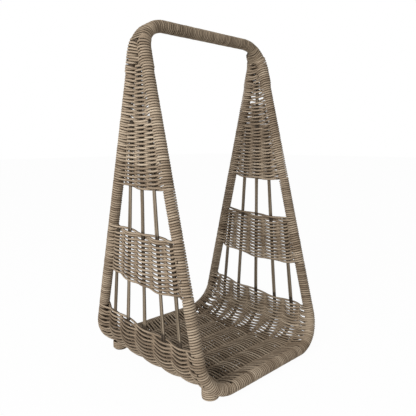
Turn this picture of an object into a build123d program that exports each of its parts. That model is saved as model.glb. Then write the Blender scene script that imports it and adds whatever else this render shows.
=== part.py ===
from build123d import *
import cmath
import os
from math import asin, atan2, ceil, cos, pi, radians, sin, sqrt, tan

# A free-standing wicker log holder: two bent pole hoops that lean together under one handle,
# joined by a woven ribbon that runs down one side, across the floor and up the other side.
# Millimetres, +Z up, +X to the right, +Y to the back. The origin is on the floor, in the middle.

# Driving dimensions of the hoops, to pole centres
handle_height = 787.0
floor_bar_height = 21.8
width_at_floor = 396.0
width_at_handle = 387.0
depth_at_floor = 399.0
depth_at_handle = 8.4
floor_bend_radius = 75.0
handle_bend_radius = 62.0
pole_diameter = 16.0

# Cane wound round the poles
binding_cane = 4.85
binding_fit = 0.15
binding_pitch = 5.4
bend_binding_pitch = 6.5
handle_bindings = 3
binding_break_canes = 3.0
lashing_turns = 2
lashing_fit = 1.0
lashing_slant = 0.25
rib_pitch = 5.6
rib_depth = 0.9

# Woven ribbon: weavers run front to back, over and under the stakes
weaver_width = 3.9
weaver_thickness = 3.2
weave_pitch = 4.4
floor_weave_pitch = 6.4
shortest_weaver = 9.0
easy_span = 30.0

# Stakes, each a pair of canes side by side
stake_cane = 5.0
stake_cane_spacing = 5.2
centre_stake_top = 700.0
inner_stake_top = 585.0
outer_stake_top = 336.0
inner_stake_high = 43.3
inner_stake_low = 65.8
outer_stake_high = 96.0
outer_stake_low = 121.5

# Heights of the open gaps between the woven bands
upper_gap_top = 440.0
upper_gap_bottom = 343.0
lower_gap_top = 227.0
lower_gap_bottom = 125.0

# Joints of the poles
splice_run = 26.0
dowel_diameter = 6.0
dowel_length = 36.0
dowel_fit = 0.05
pin_diameter = 3.0
pin_inset = 0.5
seam_angle = 24.0
pin_angle = 33.0
rear_pole_end_angle = 45.0

# Feet
foot_spread = 155.0
foot_core_diameter = 30.0
foot_edge_radius = 2.0
foot_cane = 4.0
foot_cane_pitch = 4.6
foot_turns = 3

# Room between pieces that rest against each other
seat = 0.3

# How finely the curves are drawn and checked
shortest_edge = 1e-6
straight_enough = 0.999999
heading_step = 1e-4
samples_apart = 14

# Sizes worked out from the ones above
pole_radius = pole_diameter / 2
wrap_radius = pole_radius + binding_fit + binding_cane
winding_radius = pole_radius + binding_fit + binding_cane / 2
rise = handle_height - floor_bar_height
lean = atan2((depth_at_floor - depth_at_handle) / 2, rise)
hoop_rise = rise / cos(lean)
weave_offset = stake_cane / 2 + seat + weaver_thickness / 2
stake_half_width = (stake_cane_spacing + stake_cane) / 2


def unit(value):
    return value / abs(value)


class Track:
    # A flat path of straight runs and arcs, as complex numbers, measured along its length

    def __init__(self, corners, radii):
        self.pieces = []
        self.marks = [0.0]
        start = corners[0]
        for before, corner, after, radius in zip(corners, corners[1:], corners[2:], radii):
            heading = unit(corner - before)
            turn = cmath.phase(unit(after - corner) / heading)
            reach = radius * tan(abs(turn) / 2)
            self.add_run(start, corner - heading * reach)
            self.add_arc(corner - heading * reach, heading, radius, turn)
            start = corner + unit(after - corner) * reach
        self.add_run(start, corners[-1])
        self.length = self.marks[-1]

    def add_run(self, start, end):
        self.pieces.append(("run", start, unit(end - start), None))
        self.marks.append(self.marks[-1] + abs(end - start))

    def add_arc(self, start, heading, radius, turn):
        centre = start + heading * 1j * radius * (1 if turn > 0 else -1)
        self.pieces.append(("arc", start, heading, (centre, turn / (radius * abs(turn)))))
        self.marks.append(self.marks[-1] + radius * abs(turn))

    def at(self, distance):
        # The point and the heading at this distance from the start
        index = 0
        while index < len(self.pieces) - 1 and distance > self.marks[index + 1]:
            index += 1
        kind, start, heading, arc = self.pieces[index]
        travelled = distance - self.marks[index]
        if kind == "run":
            return start + heading * travelled, heading
        centre, rate = arc
        swing = cmath.exp(1j * rate * travelled)
        return centre + (start - centre) * swing, heading * swing

    def edges(self, begin, end, place):
        made = []
        for (kind, *_), low, high in zip(self.pieces, self.marks, self.marks[1:]):
            low, high = max(low, begin), min(high, end)
            if high - low < shortest_edge:
                continue
            first, middle, last = (place(self.at(s)[0]) for s in (low, (low + high) / 2, high))
            if kind == "run":
                made.append(Edge.make_line(first, last))
            else:
                made.append(Edge.make_three_point_arc(first, middle, last))
        return made


def tube(edges, diameter):
    # A round bar along the joined edges
    path = Wire(edges)
    start = Plane(edges[0] @ 0, z_dir=edges[0] % 0)
    return Solid.sweep(Face(Wire.make_circle(diameter / 2, start)), path)


# The half hoop, seen square to its own plane: from the middle of the floor bar, round the
# corner, up the post and round the bend to the middle of the handle
hoop = Track(
    [0, width_at_floor / 2, complex(width_at_handle / 2, hoop_rise), complex(0, hoop_rise)],
    [floor_bend_radius, handle_bend_radius],
)
corner_start, corner_end, bend_start, bend_end = hoop.marks[1:5]
past_bend = 1.0    # a spot this far past a bend lies on the straight run

# The half ribbon, seen along Y: from the middle of the floor, round the corner and up the side
panel = Track(
    [complex(0, floor_bar_height), complex(width_at_floor / 2, floor_bar_height),
     complex(width_at_handle / 2, handle_height)],
    [floor_bend_radius],
)
panel_corner_start, panel_corner_end = panel.marks[1:3]
stake_joint_height = panel.at(panel_corner_end)[0].imag


def half_depth(height):
    # From the middle to the pole centres of either hoop
    return depth_at_floor / 2 - (height - floor_bar_height) * tan(lean)


def hoop_place(face, side):
    # From the hoop's own plane to the part: face -1 is the front hoop, side -1 is the left half
    def place(point):
        return Vector(side * point.real,
                      face * (depth_at_floor / 2 - point.imag * sin(lean)),
                      floor_bar_height + point.imag * cos(lean))
    return place


def hoop_frame(face, side, distance):
    # Point, heading, outward direction and the hoop plane's own direction towards the back
    place = hoop_place(face, side)
    point, heading = hoop.at(distance)
    origin = place(0)
    along = place(heading) - origin
    outward = place(-1j * heading) - origin
    square = Vector(0, cos(lean), face * sin(lean))
    return place(point), along, outward, square


def post_distance(height):
    # Distance along the hoop's track to this height on the straight post
    start, heading = hoop.at(corner_end + past_bend)
    return corner_end + past_bend + ((height - floor_bar_height) / cos(lean) - start.imag) / heading.imag


def panel_distance(height):
    start, heading = panel.at(panel_corner_end + past_bend)
    return panel_corner_end + past_bend + (height - start.imag) / heading.imag


def export(name, solids):
    export_step(solids[0] if len(solids) == 1 else Compound(children=solids), f"parts/{name}.step")
    print(name, len(solids), round(sum(solid.volume for solid in solids)))


def only(shape):
    # The single solid that a cut leaves
    solids = shape.solids()
    assert len(solids) == 1, f"a cut left {len(solids)} solids"
    return solids[0]


sides = {"left": -1, "right": 1}
faces = {"front": -1, "rear": 1}

# Poles, with bores for the dowels at their splices
low_splice = corner_end + splice_run
high_splice = bend_start - splice_run
rear_pole_end = bend_start + handle_bend_radius * radians(rear_pole_end_angle)
seam = bend_start + handle_bend_radius * radians(seam_angle)
pin_spot = bend_start + handle_bend_radius * radians(pin_angle)


def bar(centre, direction, length, diameter):
    # A straight round bar with its middle at the centre
    start = Plane(centre - direction * (length / 2), z_dir=direction)
    return Solid.make_cylinder(diameter / 2, length, start)


def splice_bar(face, side, distance, extra_length, extra_radius):
    point, along, _, _ = hoop_frame(face, side, distance)
    return bar(point, along, dowel_length + extra_length, dowel_diameter + 2 * extra_radius)


def splice_bore(face, side, distance):
    return splice_bar(face, side, distance, seat, dowel_fit)


def pin_bar(side, length, diameter):
    # Across both poles of one side, just under the handle
    front, _, _, _ = hoop_frame(-1, side, pin_spot)
    rear, _, _, _ = hoop_frame(1, side, pin_spot)
    return bar((front + rear) / 2, Vector(0, 1, 0), length, diameter)


pin_length = 2 * abs(hoop_frame(1, 1, pin_spot)[0].Y) + pole_diameter - 2 * pin_inset


def pole(face, side, begin, end):
    return tube(hoop.edges(begin, end, hoop_place(face, side)), pole_diameter)


def full_pole(face, splice, low_corner, radius):
    # A pole that spans both sides: the handle or a floor bar, with its two bends
    end, _ = hoop.at(splice)
    both = Track([complex(-end.real, end.imag), complex(-low_corner.real, low_corner.imag),
                  low_corner, end], [radius, radius])
    made = tube(both.edges(0, both.length, hoop_place(face, 1)), pole_diameter)
    for side in sides.values():
        made -= splice_bore(face, side, splice)
    return made


handle_corner = complex(width_at_handle / 2, hoop_rise)
floor_corner = complex(width_at_floor / 2, 0)
handle_pole = full_pole(-1, high_splice, handle_corner, handle_bend_radius)
for side in sides.values():
    handle_pole -= pin_bar(side, pin_length + seat, pin_diameter + 2 * dowel_fit)
export("handle_pole", [only(handle_pole)])

dowels = []
for face_name, face in faces.items():
    export(f"{face_name}_floor_pole", [only(full_pole(face, low_splice, floor_corner, floor_bend_radius))])
    for side_name, side in sides.items():
        dowels.append(splice_bar(face, side, low_splice, 0, 0))
        if face < 0:
            post = pole(face, side, low_splice, high_splice) - splice_bore(face, side, high_splice)
            dowels.append(splice_bar(face, side, high_splice, 0, 0))
        else:
            post = pole(face, side, low_splice, rear_pole_end)
            post -= pin_bar(side, pin_length + seat, pin_diameter + 2 * dowel_fit)
        export(f"{face_name}_{side_name}_post", [only(post - splice_bore(face, side, low_splice))])
export("pole_dowels", dowels)
export("top_pins", [pin_bar(side, pin_length, pin_diameter) for side in sides.values()])


# Ribbed wraps: the weavers' turns round the poles beside the woven bands
rib_profile = ((0.05, rib_depth), (0.28, 0), (0.72, 0), (0.95, rib_depth))


def ribbed_wrap(begin, end, frame, bore):
    count = max(1, round((end - begin) / rib_pitch))
    step = (end - begin) / count
    rings = []
    for index in range(count):
        for share, depth in rib_profile:
            point, along, square = frame(begin + (index + share) * step)
            rings.append(Wire.make_circle(wrap_radius - depth, Plane(point, x_dir=square, z_dir=along)))
    return only(Solid.make_loft(rings, ruled=True) - bore)


def post_wrap(face, side, begin, end):
    def frame(distance):
        point, along, _, square = hoop_frame(face, side, distance)
        return point, along, square
    through = hoop.edges(begin - seat, end + seat, hoop_place(face, side))
    return ribbed_wrap(begin, end, frame, tube(through, pole_diameter + 2 * binding_fit))


def floor_wrap(face):
    def frame(distance):
        centre = hoop_place(face, 1)(0)
        return centre + Vector(distance, 0, 0), Vector(1, 0, 0), Vector(0, 1, 0)
    centre = hoop_place(face, 1)(0)
    bore = bar(centre, Vector(1, 0, 0), 2 * corner_start + seat, pole_diameter + 2 * binding_fit)
    return ribbed_wrap(-corner_start, corner_start, frame, bore)


# Windings: one unbroken cane each, swept along arcs through the ends of its half turns
def biarc(start, start_heading, end, end_heading):
    # Two arcs that meet smoothly between two points with given headings
    chord = end - start
    both = start_heading + end_heading
    square = 2 * (start_heading.dot(end_heading) - 1)
    linear = -2 * chord.dot(both)
    constant = chord.dot(chord)
    if abs(square) < shortest_edge ** 2:
        reach = -constant / linear
    else:
        reach = (-linear - sqrt(linear * linear - 4 * square * constant)) / (2 * square)
    first = start + start_heading * reach
    second = end - end_heading * reach
    middle = (first + second) / 2
    return [Edge.make_tangent_arc(start, start_heading, middle),
            Edge.make_tangent_arc(middle, (second - first).normalized(), end)]


def least_gap(points, diameter, apart):
    # Least room between stretches of one cane that are further apart than this many points
    least = min((a - b).length for i, a in enumerate(points) for b in points[i + apart:])
    return least - diameter


def wound_cane(name, keys, diameter):
    # keys: points and headings along the cane, with a straight end of one diameter each way
    (first, first_heading), (last, last_heading) = keys[0], keys[-1]
    edges = [Edge.make_line(first - first_heading * diameter, first)]
    for (start, start_heading), (end, end_heading) in zip(keys, keys[1:]):
        chord = (end - start).normalized()
        if min(chord.dot(start_heading), chord.dot(end_heading)) > straight_enough:
            edges.append(Edge.make_line(start, end))
        else:
            edges += biarc(start, start_heading, end, end_heading)
    edges.append(Edge.make_line(last, last + last_heading * diameter))
    made = tube(edges, diameter)
    length = sum(edge.length for edge in edges)
    samples = [edge @ share for edge in edges for share in (0.0, 0.25, 0.5, 0.75)]
    gap = least_gap(samples, diameter, samples_apart)
    share = made.volume / (pi * diameter ** 2 / 4 * length)
    print(f"{name}: {length:.0f} mm of cane, least gap to itself {gap:.2f} mm, volume share {share:.4f}")
    return made


def helix_keys(point_at, turns, first_angle):
    # About half turns of a helix that point_at gives by its angle
    keys = []
    halves = ceil(2 * turns - shortest_edge)
    for index in range(halves + 1):
        angle = first_angle + index * 2 * pi * turns / halves
        heading = (point_at(angle + heading_step) - point_at(angle - heading_step)).normalized()
        keys.append((point_at(angle), heading))
    return keys


def post_binding(name, face, side, begin, end):
    room = binding_cane / 2 + seat
    turns = round(2 * (end - begin - 2 * room) / binding_pitch) / 2
    step = (end - begin - 2 * room) / turns
    first_angle = 0.5 * pi * face + pi

    def point_at(angle):
        travelled = room + (angle - first_angle) / (2 * pi) * step
        point, _, outward, square = hoop_frame(face, side, begin + travelled)
        return point + (outward * cos(angle) + square * sin(angle)) * winding_radius
    return wound_cane(name, helix_keys(point_at, turns, first_angle), binding_cane)


# Handle windings: the turns open out round the bends, where their inner sides crowd
handle_first = rear_pole_end + binding_cane + seat
handle_half = hoop.length - handle_first
bend_turns = (bend_end - handle_first) / bend_binding_pitch
straight_turns = (hoop.length - bend_end) / binding_pitch
handle_turns = 2 * (bend_turns + straight_turns)
each_binding_turns = int(handle_turns / handle_bindings)
binding_break = binding_break_canes * binding_cane / (2 * pi * winding_radius)


def handle_distance(turn):
    # Distance from the left start, after this many turns in from that end
    if turn <= bend_turns:
        return turn * bend_binding_pitch
    if turn <= handle_turns - bend_turns:
        return bend_turns * bend_binding_pitch + (turn - bend_turns) * binding_pitch
    return 2 * handle_half - (handle_turns - turn) * bend_binding_pitch


def handle_point(turn, angle):
    travelled = handle_distance(turn * handle_turns / (each_binding_turns * handle_bindings))
    side = -1 if travelled <= handle_half else 1
    distance = handle_first + (travelled if side < 0 else 2 * handle_half - travelled)
    point, _, outward, square = hoop_frame(-1, side, distance)
    return point + (outward * cos(angle) + square * sin(angle)) * winding_radius


def handle_binding(name, index):
    # One of the canes in a row; each starts and ends on the handle's underside
    first_angle = pi + pi * binding_break
    begin = index * each_binding_turns + binding_break / 2

    def point_at(angle):
        return handle_point(begin + (angle - first_angle) / (2 * pi), angle)
    keys = helix_keys(point_at, each_binding_turns - binding_break, first_angle)
    return wound_cane(name, keys, binding_cane)


def top_lashing(name, side):
    # A few turns round both poles of one side, from the seam up to the rear pole's end
    room = binding_cane / 2 + seat
    begin, end = seam + room + lashing_fit, rear_pole_end - room
    step = (end - begin) / (2 * lashing_turns + 2 * lashing_slant)
    spots = []
    for index in range(2 * lashing_turns + 1):
        way = 1 if index % 2 == 0 else -1
        for face, share in ((-way, 0), (way, 2 * lashing_slant)):
            point, _, outward, _ = hoop_frame(face, side, begin + (index + share) * step)
            spots.append(point + outward * (winding_radius + lashing_fit) * way)
    keys = []
    for index in range(0, len(spots), 2):
        heading = (spots[index + 1] - spots[index]).normalized()
        keys += [(spots[index], heading), (spots[index + 1], heading)]
    return wound_cane(name, keys, binding_cane)


for index, place_name in enumerate(("left", "middle", "right")):
    export(f"handle_binding_{place_name}", [handle_binding(f"handle_binding_{place_name}", index)])
for side_name, side in sides.items():
    export(f"{side_name}_top_lashing", [top_lashing(f"{side_name}_top_lashing", side)])

upper_gap = post_distance(upper_gap_bottom), post_distance(upper_gap_top)
lower_gap = post_distance(lower_gap_bottom), post_distance(lower_gap_top)
for face_name, face in faces.items():
    for side_name, side in sides.items():
        post_name = f"{face_name}_{side_name}"
        export(f"{post_name}_upper_wrap", [post_wrap(face, side, upper_gap[1], seam)])
        export(f"{post_name}_middle_wrap", [post_wrap(face, side, lower_gap[1], upper_gap[0])])
        export(f"{post_name}_corner_wrap", [post_wrap(face, side, corner_start, lower_gap[0])])
        for gap_name, gap in (("upper", upper_gap), ("lower", lower_gap)):
            name = f"{post_name}_{gap_name}_binding"
            export(name, [post_binding(name, face, side, *gap)])
    export(f"{face_name}_floor_wrap", [floor_wrap(face)])


# Stakes
def stake_line(high, high_height, low, low_height):
    # Distance of a stake from the middle, by height: straight, and steady below the corner
    def line(height):
        height = max(height, stake_joint_height)
        return low + (high - low) * (height - low_height) / (high_height - low_height)
    return line


inner_line = stake_line(inner_stake_high, upper_gap_top, inner_stake_low, lower_gap_bottom)
outer_line = stake_line(outer_stake_high, upper_gap_bottom, outer_stake_low, lower_gap_bottom)
stakes = {
    "front_outer": (lambda height: -outer_line(height), outer_stake_top),
    "front_inner": (lambda height: -inner_line(height), inner_stake_top),
    "centre": (lambda height: 0.0, centre_stake_top),
    "rear_inner": (inner_line, inner_stake_top),
    "rear_outer": (outer_line, outer_stake_top),
}


def side_cane(side, line, top, shift):
    low = panel.at(panel_corner_end)[0]
    high = panel.at(panel_distance(top))[0]
    start = Vector(side * low.real, line(low.imag) + shift, low.imag)
    end = Vector(side * high.real, line(top) + shift, top)
    along = (end - start).normalized()
    return bar((start + along * seat + end) / 2, along, (end - start).length - seat, stake_cane)


leg_end = complex(panel.at(panel_corner_end + past_bend)[0].real, stake_joint_height + past_bend)
base_corner = complex(width_at_floor / 2, floor_bar_height)
base_legs = Track([complex(-leg_end.real, leg_end.imag), complex(-base_corner.real, base_corner.imag),
                   base_corner, leg_end], [floor_bend_radius, floor_bend_radius])


def base_cane(depth):
    def place(point):
        return Vector(point.real, depth, point.imag)
    return tube(base_legs.edges(base_legs.marks[1], base_legs.marks[4], place), stake_cane)


pair = (-stake_cane_spacing / 2, stake_cane_spacing / 2)
for side_name, side in sides.items():
    for stake_name, (line, top) in stakes.items():
        export(f"{side_name}_{stake_name}_stake", [side_cane(side, line, top, shift) for shift in pair])
export("base_stakes", [base_cane(line(0) + shift) for line, _ in stakes.values() for shift in pair])


# Weavers
def weaver(side, distance, way):
    # One weaver at this distance along the ribbon; way says on which side of the first stake it is
    point, heading = panel.at(distance)
    height = point.imag
    reach = half_depth(height) - wrap_radius / cos(lean) - weaver_width / 2 * tan(lean) - seat
    stops = [(line(height), top) for line, top in stakes.values()]
    crossings = [depth for depth, top in stops if height < top + weaver_width]
    origin = Vector(side * point.real, 0, point.imag)
    along = Vector(side * heading.real, 0, heading.imag)
    inward = Vector(side * (heading * 1j).real, 0, (heading * 1j).imag)

    # Ends and stakes, as depths and offset from the ribbon's middle, with a flat beside a short span
    spans = [after - before for before, after in zip([-reach, *crossings], [*crossings, reach])]
    rests = [0.0 if span > easy_span else stake_half_width for span in spans]
    flats = [(depth - rests[index], depth + rests[index + 1], weave_offset * way * (-1) ** index)
             for index, depth in enumerate(crossings)]
    if flats:
        first_span, last_span = flats[0][0] + reach, reach - flats[-1][1]
        flats.insert(0, (-reach, -reach, flats[0][2] * end_share(first_span)))
        flats.append((reach, reach, flats[-1][2] * end_share(last_span)))
    else:
        flats = [(-reach, reach, 0.0)]

    def spot(depth, offset):
        return origin + Vector(0, depth, 0) + inward * offset - along * (weaver_width / 2)

    def edge_line(shift):
        # One face of the weaver, from front to back, shifted from its middle line
        made = []
        for index, (begin, end, offset) in enumerate(flats):
            if end - begin > shortest_edge:
                made.append(Edge.make_line(spot(begin, offset + shift), spot(end, offset + shift)))
            if index < len(flats) - 1:
                made += crossing_curve(end, offset, *flats[index + 1][::2], shift)
        return made

    def crossing_curve(y0, o0, y1, o1, shift):
        # Two equal arcs from one side of the ribbon to the other
        climb = o1 - o0
        radius = ((y1 - y0) ** 2 + climb ** 2) / (4 * abs(climb))
        turn = asin((y1 - y0) / 2 / radius)
        up = 1 if climb > 0 else -1
        curve = []
        halves = (y0, o0, up, (0, turn / 2, turn)), (y1, o1, -up, (-turn, -turn / 2, 0))
        for depth, offset, way_up, swings in halves:
            spots = [spot(depth + (radius - way_up * shift) * sin(swing),
                          offset + way_up * radius - way_up * (radius - way_up * shift) * cos(swing))
                     for swing in swings]
            curve.append(Edge.make_three_point_arc(*spots))
        return curve

    outer = edge_line(weaver_thickness / 2)
    inner = edge_line(-weaver_thickness / 2)
    ends = [Edge.make_line(inner[0] @ 0, outer[0] @ 0), Edge.make_line(outer[-1] @ 1, inner[-1] @ 1)]
    return Solid.extrude(Face(Wire(outer + inner + ends)), along * weaver_width)


def end_share(span):
    # A long run to the post crosses the ribbon, a short one stays on its side
    return 1 - 2 * min(1.0, span / easy_span)


def weave_rows(side, begin, end, pitch, first_row):
    count = round((end - begin) / pitch)
    rows = []
    for index in range(count):
        distance = begin + (index + 0.5) * (end - begin) / count
        height = panel.at(distance)[0].imag
        if half_depth(height) - wrap_radius / cos(lean) < shortest_weaver / 2:
            break
        way = 1 if (first_row + index + (side > 0)) % 2 else -1
        rows.append(weaver(side, distance, way))
    return rows


floor_rows = []
for side_name, side in sides.items():
    bands = {
        "floor": (0, panel_corner_start, floor_weave_pitch),
        "lower": (panel_corner_start, panel_distance(lower_gap_bottom), weave_pitch),
        "middle": (panel_distance(lower_gap_top), panel_distance(upper_gap_bottom), weave_pitch),
        "upper": (panel_distance(upper_gap_top), panel.length, weave_pitch),
    }
    rows_made = 0
    for band_name, (begin, end, pitch) in bands.items():
        rows = weave_rows(side, begin, end, pitch, rows_made)
        rows_made += len(rows)
        if band_name == "floor":
            floor_rows += rows
        else:
            export(f"{side_name}_{band_name}_weave", rows)
export("floor_weave", floor_rows)


# Feet: wound pegs that are coped to the ribbon's corner and stand close beside the hoops
corner_centre = panel.at(panel_corner_start)[0] + 1j * floor_bend_radius
foot_height = corner_centre.imag - sqrt(floor_bend_radius ** 2 - (foot_spread - corner_centre.real) ** 2)
foot_depth = half_depth(foot_height) - wrap_radius - seat - foot_core_diameter / 2
ribbon_underside = floor_bend_radius + weave_offset + weaver_thickness / 2 + seat
foot_winding_radius = foot_core_diameter / 2 + binding_fit + foot_cane / 2


def foot_core(face, side):
    peg = Solid.make_cylinder(foot_core_diameter / 2, foot_height)
    peg = peg.fillet(foot_edge_radius, peg.edges().group_by(Axis.Z)[0])
    peg = Pos(side * foot_spread, face * foot_depth, 0) * peg
    ribbon = Solid.make_cylinder(ribbon_underside, depth_at_floor,
                                 Plane((side * corner_centre.real, -depth_at_floor / 2, corner_centre.imag),
                                       z_dir=(0, 1, 0)))
    return only(peg - ribbon)


def foot_binding(face, side):
    first_angle = pi

    def point_at(angle):
        climb = foot_cane / 2 + seat + (angle - first_angle) / (2 * pi) * foot_cane_pitch
        return Vector(side * (foot_spread + foot_winding_radius * cos(angle) * -1),
                      face * (foot_depth + foot_winding_radius * sin(angle)), climb)
    return wound_cane("foot_binding", helix_keys(point_at, foot_turns, first_angle), foot_cane)


foot_bindings = []
for face_name, face in faces.items():
    for side_name, side in sides.items():
        export(f"{face_name}_{side_name}_foot", [foot_core(face, side)])
        foot_bindings.append(foot_binding(face, side))
export("foot_bindings", foot_bindings)
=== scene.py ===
import cmath
import math

import bpy
import numpy as np
from mathutils import Matrix, Vector


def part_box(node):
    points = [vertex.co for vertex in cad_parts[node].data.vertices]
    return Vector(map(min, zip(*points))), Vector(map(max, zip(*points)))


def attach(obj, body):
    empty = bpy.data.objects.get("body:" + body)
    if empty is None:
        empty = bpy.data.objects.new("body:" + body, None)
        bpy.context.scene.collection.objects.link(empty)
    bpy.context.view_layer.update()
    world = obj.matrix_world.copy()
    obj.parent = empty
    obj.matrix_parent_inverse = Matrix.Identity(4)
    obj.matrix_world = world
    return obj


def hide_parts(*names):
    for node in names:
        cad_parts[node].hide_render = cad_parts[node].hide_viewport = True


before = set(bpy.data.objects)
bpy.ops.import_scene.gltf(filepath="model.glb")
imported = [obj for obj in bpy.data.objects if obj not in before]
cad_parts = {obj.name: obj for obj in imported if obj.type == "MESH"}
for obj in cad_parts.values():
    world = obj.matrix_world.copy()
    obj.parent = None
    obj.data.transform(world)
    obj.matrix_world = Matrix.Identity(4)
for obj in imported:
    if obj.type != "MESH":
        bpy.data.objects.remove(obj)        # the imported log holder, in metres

for leftover in ("Cube", "Light", "Camera"):
    if leftover in bpy.data.objects:
        bpy.data.objects.remove(bpy.data.objects[leftover])
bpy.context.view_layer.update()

print("hoops: reading the poles")

# The two hoops. Heights and depths come from the poles themselves, the rest is set here.
hoops = {
    "poleRadius": 0.008,
    "widthAtFloor": 0.396,      # between the centre lines of the posts, carried on to the floor bar
    "widthAtHandle": 0.387,     # the same at the handle
    "floorBend": 0.075,
    "handleBend": 0.062,
    "seamAngle": 24,            # degrees round the handle's bend where the weave ends
    "rearPoleEndAngle": 45,     # degrees round the bend where the rear pole ends
}
poleRadius = hoops["poleRadius"]
barLow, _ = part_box("front_floor_pole")
_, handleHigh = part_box("handle_pole")
barHeight = barLow.z + poleRadius
barDepth = -barLow.y - poleRadius
handleHeight = handleHigh.z - poleRadius
handleDepth = poleRadius - handleHigh.y
lean = math.atan2(barDepth - handleDepth, handleHeight - barHeight)
hoopRise = (handleHeight - barHeight) / math.cos(lean)
faces = {"front": -1, "rear": 1}
sides = {"left": -1, "right": 1}


def bentPath(corners, bends):
    # straight runs and round bends through these corners, as (distance, start, heading, turn per metre)
    runs, start, travelled = [], corners[0], 0.0
    for before, corner, after, bend in zip(corners, corners[1:], corners[2:], bends):
        coming = (corner - before) / abs(corner - before)
        going = (after - corner) / abs(after - corner)
        turn = cmath.phase(going / coming)
        reach = bend * math.tan(abs(turn) / 2)
        runs.append((travelled, start, coming, 0.0))
        travelled += abs(corner - coming * reach - start)
        runs.append((travelled, corner - coming * reach, coming, math.copysign(1 / bend, turn)))
        travelled += bend * abs(turn)
        start = corner + going * reach
    runs.append((travelled, start, going, 0.0))
    return runs, travelled + abs(corners[-1] - start)


def onPath(runs, distances):
    points = np.zeros(len(distances), complex)
    headings = np.zeros(len(distances), complex)
    for index, (begin, start, heading, rate) in enumerate(runs):
        last = runs[index + 1][0] if index + 1 < len(runs) else np.inf
        here = (distances < last) & ((distances >= begin) | (index == 0))
        gone = distances[here] - begin
        swing = np.exp(1j * rate * gone)
        points[here] = start + heading * ((swing - 1) / (1j * rate) if rate else gone)
        headings[here] = heading * swing
    return points, headings


# Half of the hoop in its own plane, from the middle of the floor bar to the middle of the handle
halfHoop, hoopLength = bentPath(
    [0, complex(hoops["widthAtFloor"] / 2, 0), complex(hoops["widthAtHandle"] / 2, hoopRise),
     complex(0, hoopRise)],
    [hoops["floorBend"], hoops["handleBend"]])
cornerStart, cornerEnd, bendStart = (run[0] for run in halfHoop[1:4])
seam = bendStart + hoops["handleBend"] * math.radians(hoops["seamAngle"])
rearPoleEnd = bendStart + hoops["handleBend"] * math.radians(hoops["rearPoleEndAngle"])


def unit(vectors):
    return vectors / np.linalg.norm(vectors, axis=-1, keepdims=True)


def hoopAt(face, spots):
    # spots run from the middle of the floor, up the right side where positive and the left where negative
    spots = np.asarray(spots, float)
    side = np.where(spots < 0, -1.0, 1.0)
    at, heading = onPath(halfHoop, np.abs(spots))
    tilt, rise = math.sin(lean), math.cos(lean)
    points = np.stack([side * at.real, face * (barDepth - at.imag * tilt), barHeight + at.imag * rise], 1)
    along = np.stack([heading.real, -face * side * heading.imag * tilt, side * heading.imag * rise], 1)
    inward = unit(np.stack([-along[:, 2], 0 * side, along[:, 0]], 1))
    away = unit(np.cross(along, inward))
    away *= np.where(away[:, 1] * face > 0, 1.0, -1.0)[:, None]
    return points, along, inward, away


def spotAt(height):
    # distance along the hoop of this height on the straight posts
    _, start, heading, _ = halfHoop[2]
    return cornerEnd + ((height - barHeight) / math.cos(lean) - start.imag) / heading.imag


def heightAt(spots):
    return barHeight + onPath(halfHoop, np.abs(np.asarray(spots, float)))[0].imag * math.cos(lean)


def halfDepth(spots):
    return barDepth - onPath(halfHoop, np.abs(np.asarray(spots, float)))[0].imag * math.sin(lean)


def smooth(share):
    share = np.clip(share, 0, 1)
    return share * share * (3 - 2 * share)


# Canes: kept as centre lines with their widths, then made into tubes piece by piece
strands = {
    "corners": 8,               # round the section of a cane
    "roundCorners": 12,         # the same for stakes and feet, which stand clear
    "bluntEnds": 0.7,           # share of its width that a cane keeps at its two ends
    "woundShare": 0.47,         # half the width of a wound cane, as a share of the pitch
    "grainStarts": 50,          # range of the fibres' starting places
}
# Another number gives that kind of piece other small irregularities
seeds = {"bands": 100, "stakes": 300, "base": 340, "bindings": 400, "lashings": 450, "handle": 460,
         "feet": 500}


def cane(points, axis, wide, thick, rng, tones=(0, 1), shade=0.0):
    # wide is half the width along the axis, thick half the width away from what it lies on
    points = np.asarray(points, float)
    fill = np.ones(len(points))
    return {"points": points, "axis": np.asarray(axis, float) * fill[:, None], "wide": wide * fill,
            "thick": thick * fill, "tone": rng.uniform(*tones),
            "start": rng.uniform(0, strands["grainStarts"]), "shade": shade * fill}


def meshFrom(name, corners, loops, starts):
    mesh = bpy.data.meshes.new(name)
    mesh.vertices.add(len(corners))
    mesh.vertices.foreach_set("co", corners.astype(np.float32).ravel())
    mesh.loops.add(len(loops))
    mesh.loops.foreach_set("vertex_index", loops.astype(np.int32))
    mesh.polygons.add(len(starts))
    mesh.polygons.foreach_set("loop_start", starts.astype(np.int32))
    mesh.update(calc_edges=True)
    mesh.validate()
    mesh.polygons.foreach_set("use_smooth", np.ones(len(mesh.polygons), bool))
    return mesh


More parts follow.
